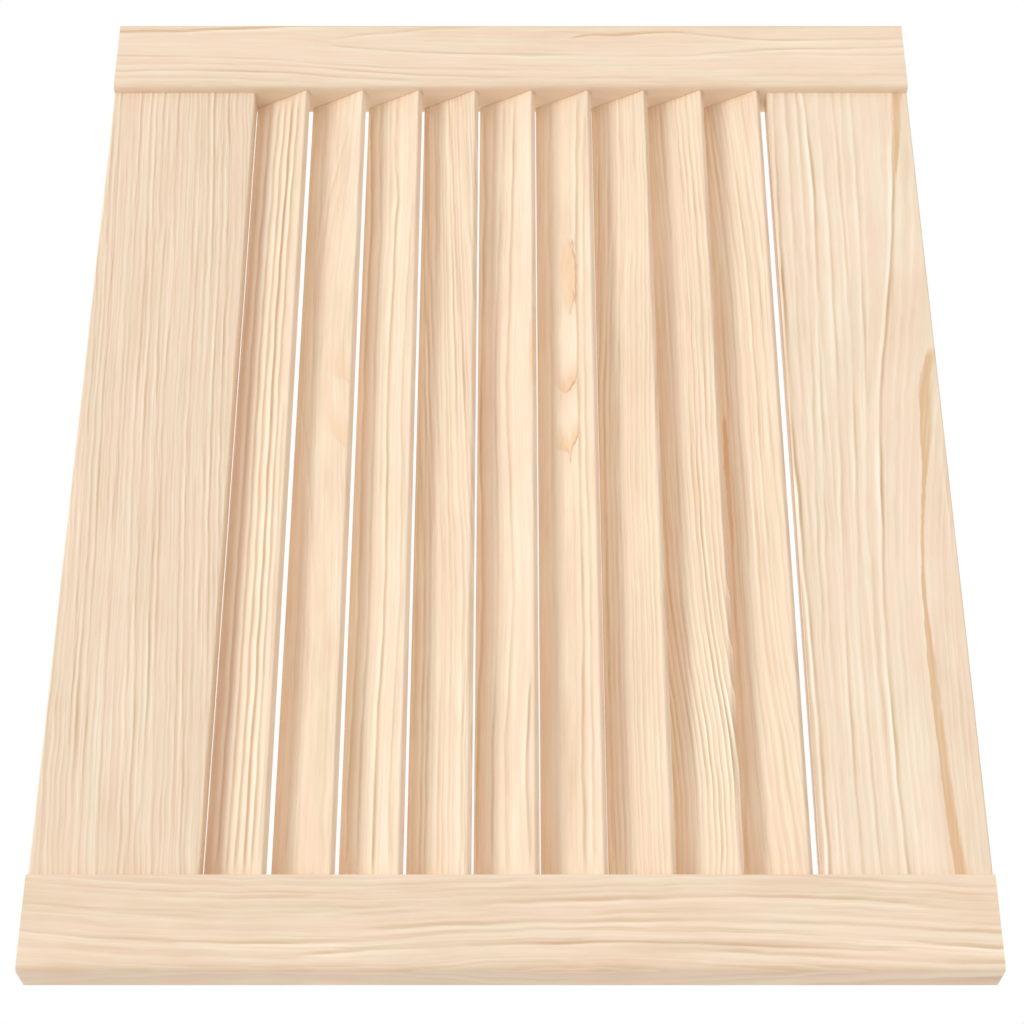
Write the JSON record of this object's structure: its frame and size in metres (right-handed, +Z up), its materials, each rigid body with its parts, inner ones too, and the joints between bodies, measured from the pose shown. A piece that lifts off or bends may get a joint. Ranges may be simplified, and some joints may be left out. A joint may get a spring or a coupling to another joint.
{
  "type": "louvred cabinet door",
  "caption": "Small pine cabinet door leaf: two stiles, two set-back rails and a ladder of fixed slanted slats with open gaps between them.",
  "frame": {"origin": "middle of the left stile's outer edge, where the leaf is hinged", "axes": "+X across the leaf to its closing edge, +Y through the leaf to its back, +Z up the stiles"},
  "size_m": [0.494, 0.0204, 0.395],
  "materials": {
    "stile": "bare planed pine",
    "rail": "bare planed pine",
    "slat": "bare planed pine",
    "dowel": "bare hardwood rod"
  },
  "bodies": {
    "root": {"stile_left": "stile", "stile_right": "stile", "rail_top": "rail", "rail_bottom": "rail", "slat_1": "slat", "slat_2": "slat", "slat_3": "slat", "slat_4": "slat", "slat_5": "slat", "slat_6": "slat", "slat_7": "slat", "slat_8": "slat", "slat_9": "slat", "dowel_1": "dowel", "dowel_2": "dowel", "dowel_3": "dowel", "dowel_4": "dowel", "dowel_5": "dowel", "dowel_6": "dowel", "dowel_7": "dowel", "dowel_8": "dowel"}
  },
  "joints": []
}
